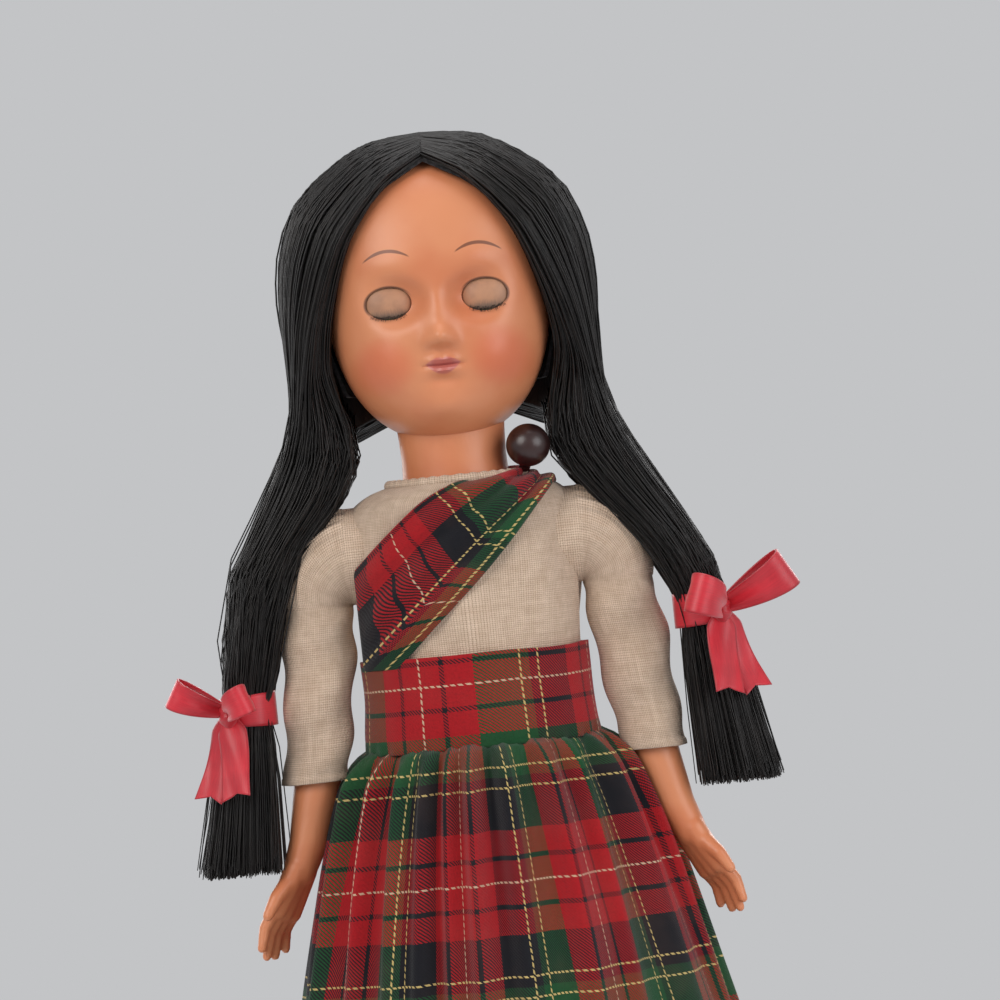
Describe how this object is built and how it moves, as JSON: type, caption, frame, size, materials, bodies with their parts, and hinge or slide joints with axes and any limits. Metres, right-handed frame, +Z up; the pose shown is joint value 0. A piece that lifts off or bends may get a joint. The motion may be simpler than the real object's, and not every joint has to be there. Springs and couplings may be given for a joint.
{
  "type": "costume doll",
  "caption": "Strung costume doll with weighted sleep eyes, swinging arms and legs, hair in two ribbon-tied tails, and a tartan skirt with a shoulder plaid.",
  "frame": {"origin": "on the ground, midway between the shoes and under the middle of the skirt", "axes": "+Z up the doll, -Y the way it faces, +X to its own left"},
  "size_m": [0.0902, 0.0754, 0.2047],
  "materials": {
    "skin": "satin moulded plastic in a peach flesh colour",
    "eye": "moulded eye with a flesh lid, white and a dark iris",
    "lash": "cut fibre lashes",
    "elastic": "flat rubber stringing",
    "steel": "bright wire and pressings",
    "weight": "grey cast weight",
    "bracket": "plain moulding",
    "cap": "dark net",
    "hair": "black combed fibre with a soft shine",
    "ribbon": "red satin ribbon",
    "blouse": "cream plain-weave cotton",
    "tartan": "red, green and black tartan with thin pale lines",
    "knickers": "white cotton",
    "button": "glossy dark brown ball",
    "sock": "white knit",
    "shoe": "black vinyl",
    "sole": "brown sole"
  },
  "bodies": {
    "torso": {"torso_front": "skin", "torso_back": "skin", "arm_elastic": "elastic", "leg_elastic": "elastic", "blouse": "blouse", "waistband": "tartan", "plaid_sash": "tartan", "skirt": "tartan", "knickers": "knickers", "plaid_button": "button", "blouse_stud": "steel", "waistband_stud": "steel", "ribbon_left": "ribbon", "ribbon_right": "ribbon"},
    "head": {"head_front": "skin", "head_back": "skin", "neck_hook": "steel", "neck_washer": "steel", "eye_bracket": "bracket", "wig_cap": "cap", "hair_left": "hair", "hair_right": "hair", "hair_tail_left": "hair", "hair_tail_right": "hair"},
    "eyes": {"eye_left": "eye", "eye_right": "eye", "eyelash_left": "lash", "eyelash_right": "lash", "eye_rocker": "steel", "eye_weight": "weight"},
    "arm_left": {"arm_left": "skin", "sleeve_left": "blouse", "shoulder_hook_left": "steel"},
    "arm_right": {"arm_right": "skin", "sleeve_right": "blouse", "shoulder_hook_right": "steel"},
    "leg_left": {"leg_left": "skin", "sock_left": "sock", "shoe_left": "shoe", "sole_left": "sole", "hip_hook_left": "steel"},
    "leg_right": {"leg_right": "skin", "sock_right": "sock", "shoe_right": "shoe", "sole_right": "sole", "hip_hook_right": "steel"}
  },
  "joints": [
    {"name": "neck_turn", "type": "hinge", "parent": "torso", "child": "head", "pos_m": [0, 0, 0.151], "axis": [0, 0, 1], "range_deg": [-60, 60], "deforming": ["hair_tail_left", "hair_tail_right", "leg_elastic"]},
    {"name": "eyes_sleep", "type": "hinge", "parent": "head", "child": "eyes", "pos_m": [0, -0.0095, 0.1797], "axis": [-1, 0, 0], "range_deg": [0, 42]},
    {"name": "shoulder_left", "type": "hinge", "parent": "torso", "child": "arm_left", "pos_m": [0.0155, 0, 0.143], "axis": [-1, 0, 0], "range_deg": [-50, 100], "deforming": ["arm_elastic"]},
    {"name": "shoulder_right", "type": "hinge", "parent": "torso", "child": "arm_right", "pos_m": [-0.0155, 0, 0.143], "axis": [-1, 0, 0], "range_deg": [-50, 100], "deforming": ["arm_elastic"]},
    {"name": "hip_left", "type": "hinge", "parent": "torso", "child": "leg_left", "pos_m": [0.006, 0, 0.101], "axis": [-1, 0, 0], "range_deg": [-22, 24], "deforming": ["leg_elastic"]},
    {"name": "hip_right", "type": "hinge", "parent": "torso", "child": "leg_right", "pos_m": [-0.006, 0, 0.101], "axis": [-1, 0, 0], "range_deg": [-22, 24], "deforming": ["leg_elastic"]}
  ]
}
